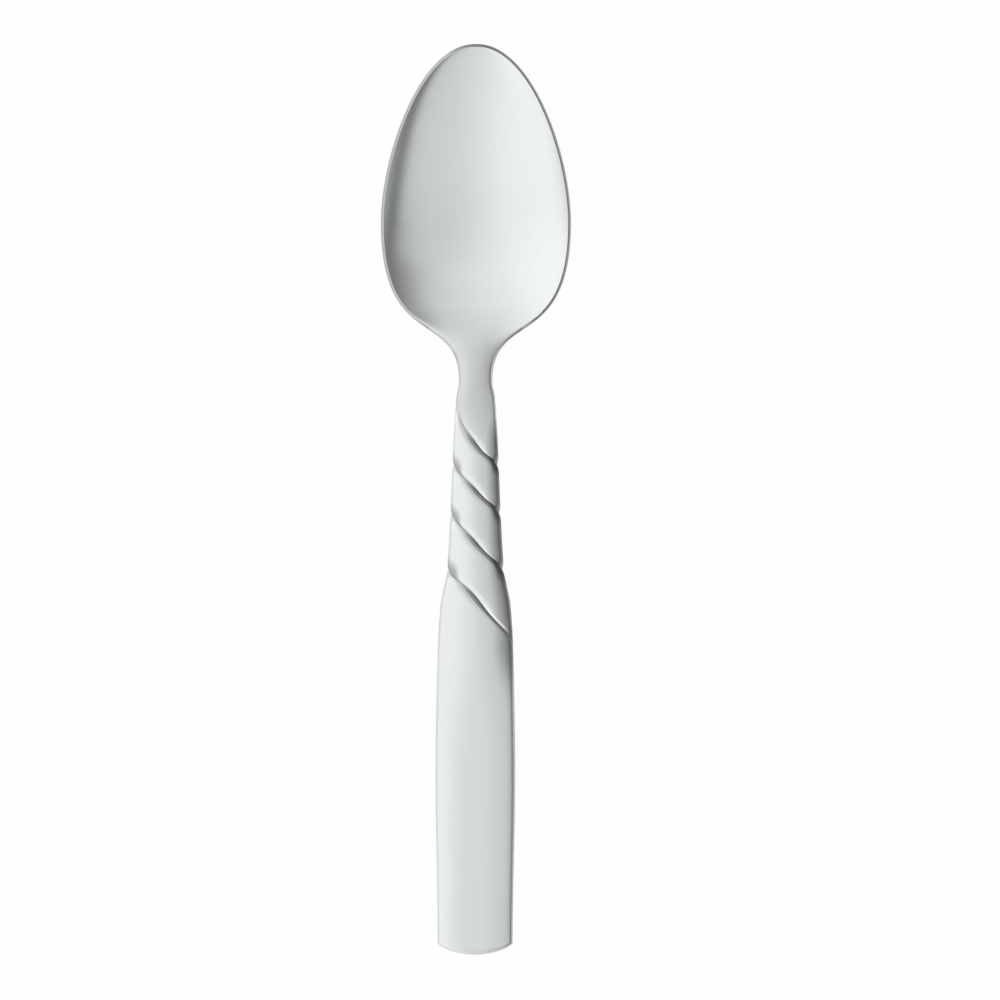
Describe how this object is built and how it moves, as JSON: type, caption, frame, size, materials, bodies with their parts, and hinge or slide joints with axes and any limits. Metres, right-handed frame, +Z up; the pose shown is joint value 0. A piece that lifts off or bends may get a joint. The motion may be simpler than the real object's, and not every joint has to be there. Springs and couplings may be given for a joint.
{
  "type": "demitasse spoon",
  "caption": "Small satin steel spoon with an egg-shaped bowl, a slim neck, a stem twisted like a rope and a flat grip with a shallow round end, for stirring small cups of coffee.",
  "frame": {"origin": "on the table under the middle of the spoon's length", "axes": "+Y along the spoon towards the tip of the bowl, +Z up out of the hollow of the bowl, +X to the right as seen from above with the tip away from the viewer"},
  "size_m": [0.024, 0.115, 0.0084],
  "materials": {
    "bowl_steel": "satin, pressed and brushed along the spoon",
    "twist_steel": "satin, with polished lips and darker grooves",
    "handle_steel": "satin, brushed along the grip"
  },
  "bodies": {
    "root": {"bowl": "bowl_steel", "left_strand": "twist_steel", "right_strand": "twist_steel", "handle": "handle_steel"}
  },
  "joints": []
}
